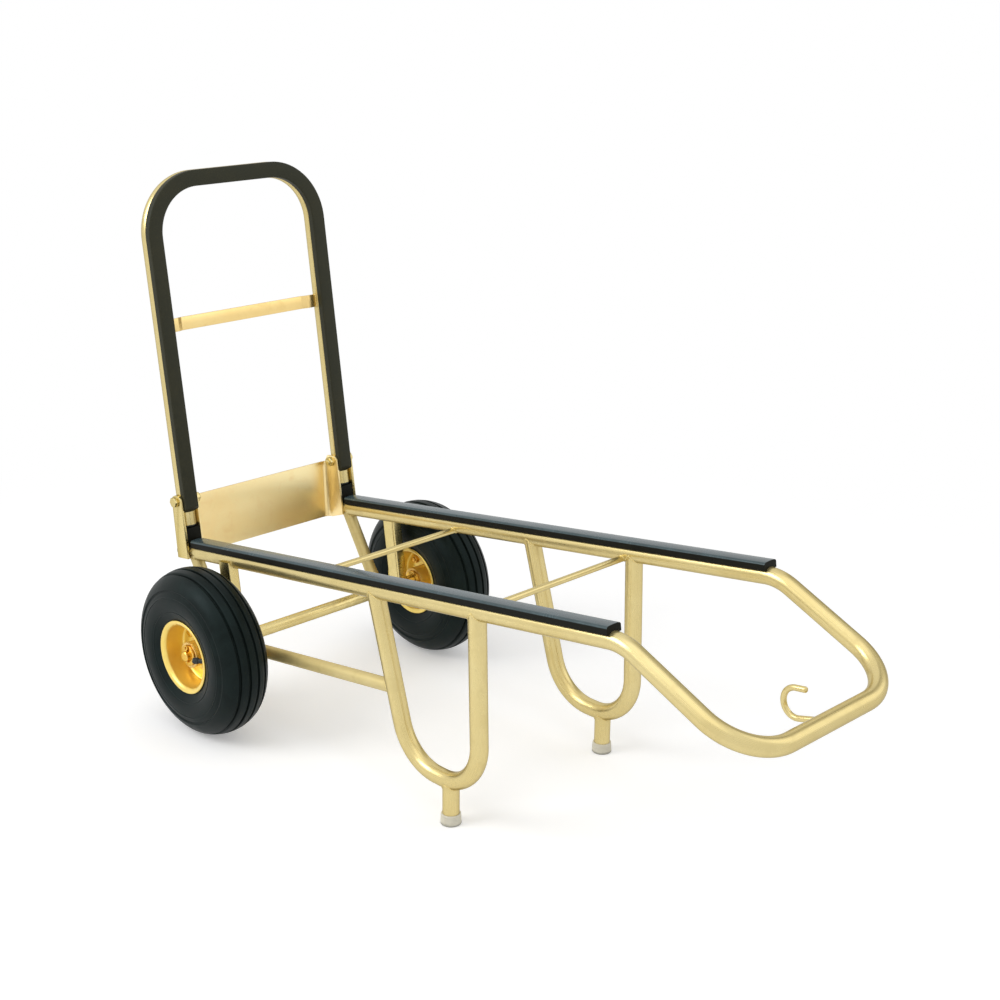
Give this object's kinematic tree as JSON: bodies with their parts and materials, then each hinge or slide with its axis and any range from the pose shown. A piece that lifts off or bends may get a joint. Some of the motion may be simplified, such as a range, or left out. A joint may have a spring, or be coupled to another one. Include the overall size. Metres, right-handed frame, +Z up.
{
  "type": "bellman's hand truck",
  "caption": "Luggage hand truck of bent brass tube with a folding nose, pneumatic tyres, U-shaped legs, rubber strips along the bed and a garment hook in its handle.",
  "frame": {"origin": "on the floor, under the centre of the bounding box", "axes": "+Z up, +X towards the handle, +Y towards the right wheel, as seen by someone at the handle's back"},
  "size_m": [1.1962, 0.5462, 0.8188],
  "materials": {
    "polished_brass": "polished brass plate under clear lacquer",
    "satin_brass": "satin brass plate under clear lacquer",
    "gold_paint": "gloss gold paint",
    "bright_steel": "bright zinc",
    "black_rubber": "matt black extruded rubber",
    "tan_rubber": "matt pale beige rubber",
    "tyre_rubber": "moulded black rubber",
    "tube_rubber": "smooth black butyl rubber",
    "black_plastic": "moulded black plastic"
  },
  "bodies": {
    "frame": {"frame_tube": "polished_brass", "rail_end_plugs": "black_plastic", "left_leg": "polished_brass", "right_leg": "polished_brass", "left_foot_stub": "polished_brass", "right_foot_stub": "polished_brass", "left_foot_tip": "tan_rubber", "right_foot_tip": "tan_rubber", "left_truss_tube": "polished_brass", "right_truss_tube": "polished_brass", "left_axle_strut": "polished_brass", "right_axle_strut": "polished_brass", "axle": "polished_brass", "axle_sleeve": "polished_brass", "axle_washers": "polished_brass", "cotter_pins": "polished_brass", "rear_cross_rod": "polished_brass", "front_cross_rod": "polished_brass", "toe_plate": "satin_brass", "left_hinge_ear": "polished_brass", "right_hinge_ear": "polished_brass", "left_stop_block": "black_rubber", "right_stop_block": "black_rubber", "pivot_bolts": "polished_brass", "pivot_nuts": "polished_brass", "left_rail_bumper": "black_rubber", "right_rail_bumper": "black_rubber", "garment_hook": "polished_brass"},
    "nose": {"nose_loop": "polished_brass", "nose_crossbar": "polished_brass", "nose_bumper": "black_rubber", "nose_end_plugs": "black_plastic", "pivot_bushes": "bright_steel"},
    "left_wheel": {"left_tyre": "tyre_rubber", "left_inner_tube": "tube_rubber", "left_outer_rim": "gold_paint", "left_inner_rim": "gold_paint", "left_hub": "gold_paint", "left_bearings": "bright_steel", "left_rim_bolts": "polished_brass", "left_rim_nuts": "polished_brass", "left_valve_stem": "tube_rubber", "left_valve_cap": "black_plastic"},
    "right_wheel": {"right_tyre": "tyre_rubber", "right_inner_tube": "tube_rubber", "right_outer_rim": "gold_paint", "right_inner_rim": "gold_paint", "right_hub": "gold_paint", "right_bearings": "bright_steel", "right_rim_bolts": "polished_brass", "right_rim_nuts": "polished_brass", "right_valve_stem": "tube_rubber", "right_valve_cap": "black_plastic"}
  },
  "joints": [
    {"name": "nose_fold", "type": "hinge", "parent": "frame", "child": "nose", "pos_m": [-0.51648, 0, 0.32018], "axis": [0, 1, 0], "range_deg": [0, 94.5]},
    {"name": "left_wheel_spin", "type": "hinge", "parent": "frame", "child": "left_wheel", "pos_m": [-0.378, -0.2297, 0.13], "axis": [0, 1, 0], "continuous": true},
    {"name": "right_wheel_spin", "type": "hinge", "parent": "frame", "child": "right_wheel", "pos_m": [-0.378, 0.2297, 0.13], "axis": [0, 1, 0], "continuous": true}
  ]
}
